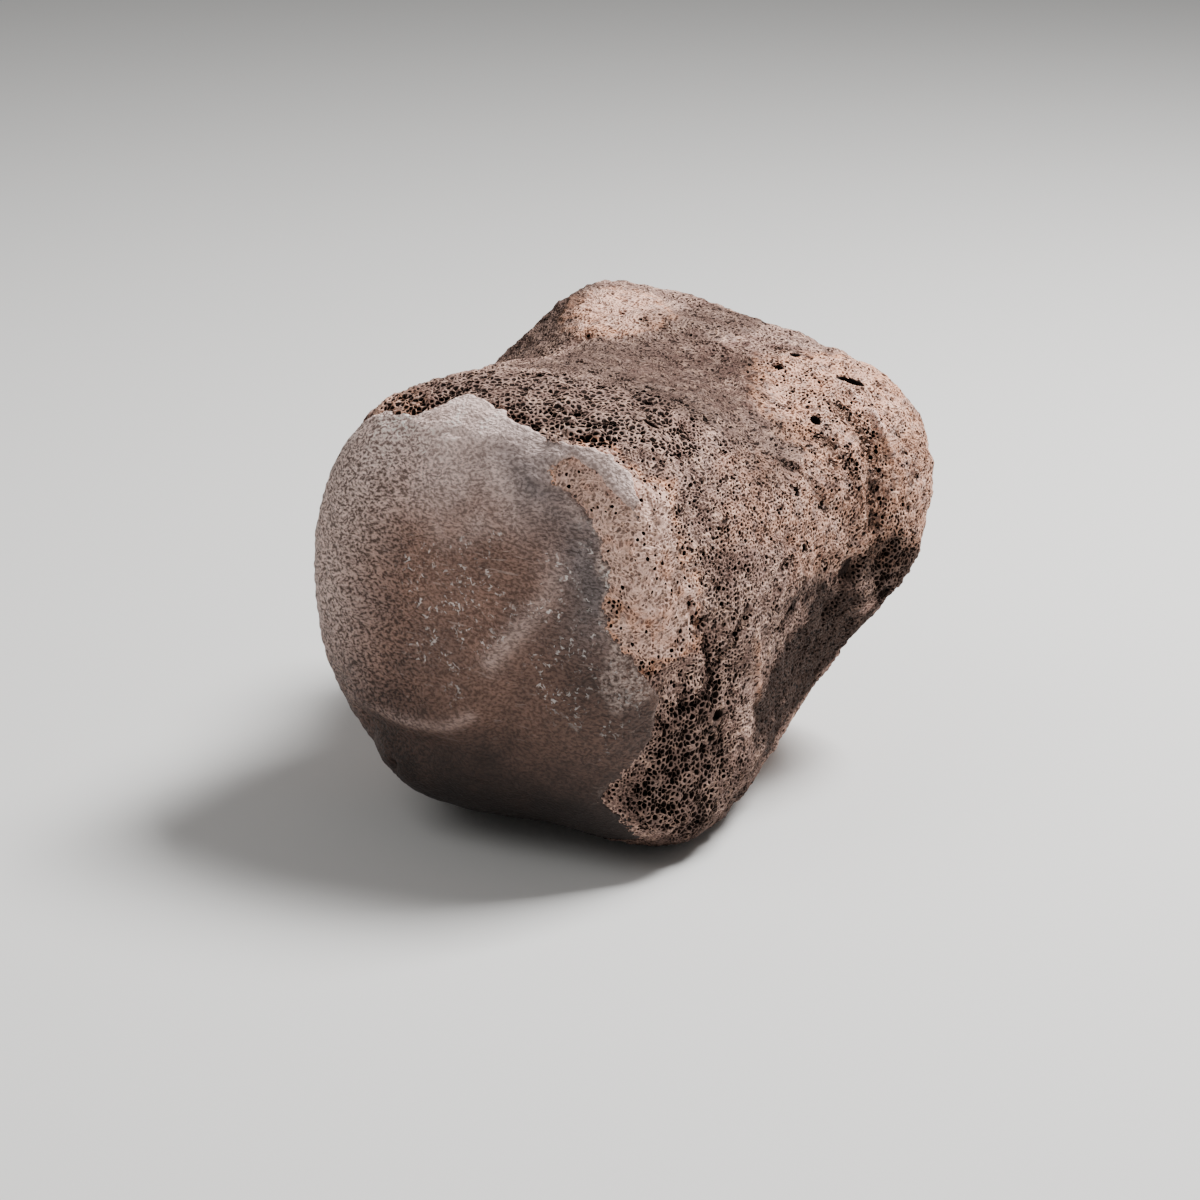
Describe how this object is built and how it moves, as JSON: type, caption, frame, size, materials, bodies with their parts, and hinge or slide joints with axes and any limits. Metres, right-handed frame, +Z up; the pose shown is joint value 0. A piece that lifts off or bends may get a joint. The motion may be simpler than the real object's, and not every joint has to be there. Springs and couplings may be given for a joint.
{
  "type": "fossil mammoth toe bone",
  "caption": "Weathered fossil toe bone of a mammoth: a smooth double-domed joint face at one end, a pitted waist, and a broad knobbed base at the other.",
  "frame": {"origin": "middle of the bone's footprint, on the floor it rests on", "axes": "+Z up; +Y along the bone, from the smooth far joint face towards the broad near end; +X to the side with the round foramen"},
  "size_m": [0.1134, 0.119, 0.1025],
  "materials": {
    "fossil_bone": "dry, pitted fossil bone, mauve brown to pale buff, with a smoother brown joint face"
  },
  "bodies": {
    "root": {"toe_bone": "fossil_bone"}
  },
  "joints": []
}
